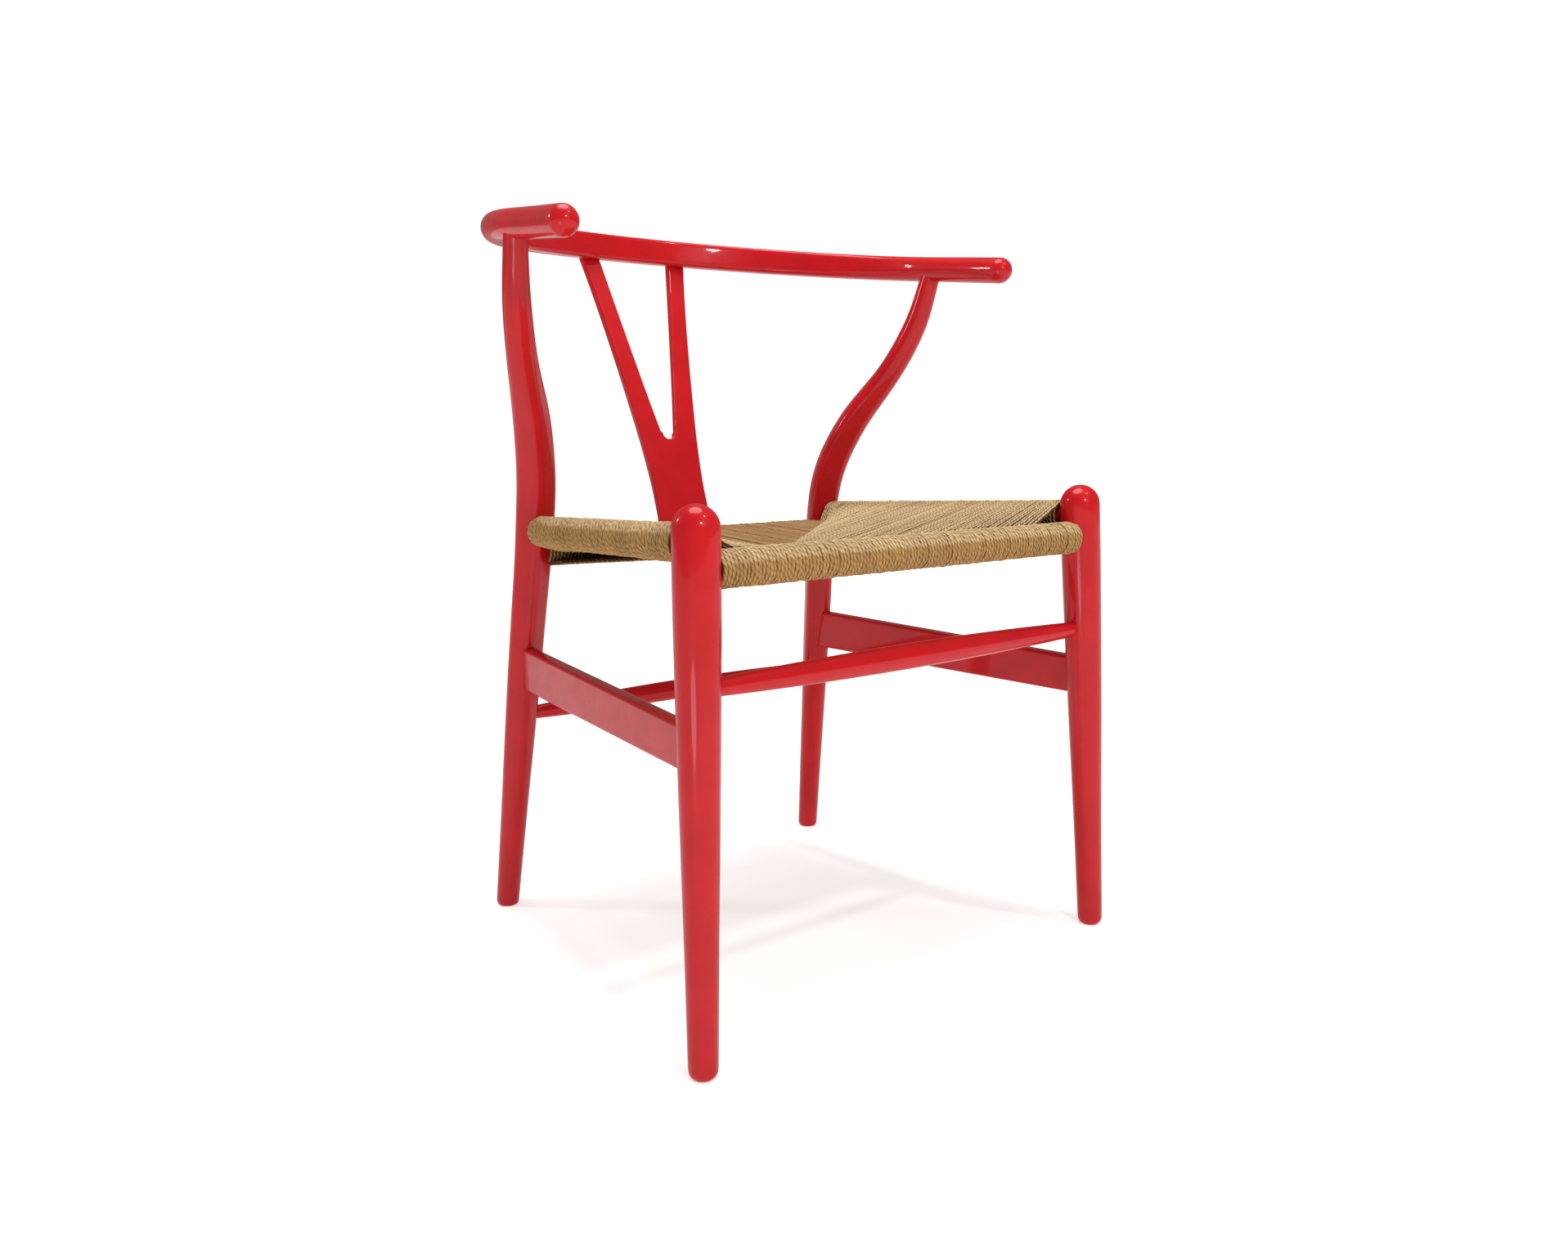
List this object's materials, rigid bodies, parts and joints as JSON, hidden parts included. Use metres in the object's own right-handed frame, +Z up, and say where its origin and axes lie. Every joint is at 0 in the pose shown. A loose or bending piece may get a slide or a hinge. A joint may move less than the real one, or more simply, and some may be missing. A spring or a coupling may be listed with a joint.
{
  "type": "armchair",
  "caption": "Lacquered wooden armchair with a bent one-piece arm and top rail, forked back board and woven cord seat.",
  "frame": {"origin": "bottom centre of the whole chair, on the floor", "axes": "+X to the sitter's left, +Y to the back, +Z up; the chair faces -Y"},
  "size_m": [0.554, 0.5281, 0.776],
  "materials": {
    "red_lacquer": "gloss red lacquer over turned and bent wood",
    "paper_cord": "twisted paper cord, natural tan"
  },
  "bodies": {
    "root": {"front_leg_left": "red_lacquer", "front_leg_right": "red_lacquer", "rear_leg_left": "red_lacquer", "rear_leg_right": "red_lacquer", "top_rail": "red_lacquer", "back_splat": "red_lacquer", "seat_rail_front": "red_lacquer", "seat_rail_rear": "red_lacquer", "seat_rail_left": "red_lacquer", "seat_rail_right": "red_lacquer", "side_stretcher_left": "red_lacquer", "side_stretcher_right": "red_lacquer", "front_stretcher": "red_lacquer", "rear_stretcher": "red_lacquer", "seat_cord_front": "paper_cord", "seat_cord_rear": "paper_cord", "seat_cord_left": "paper_cord", "seat_cord_right": "paper_cord"}
  },
  "joints": []
}
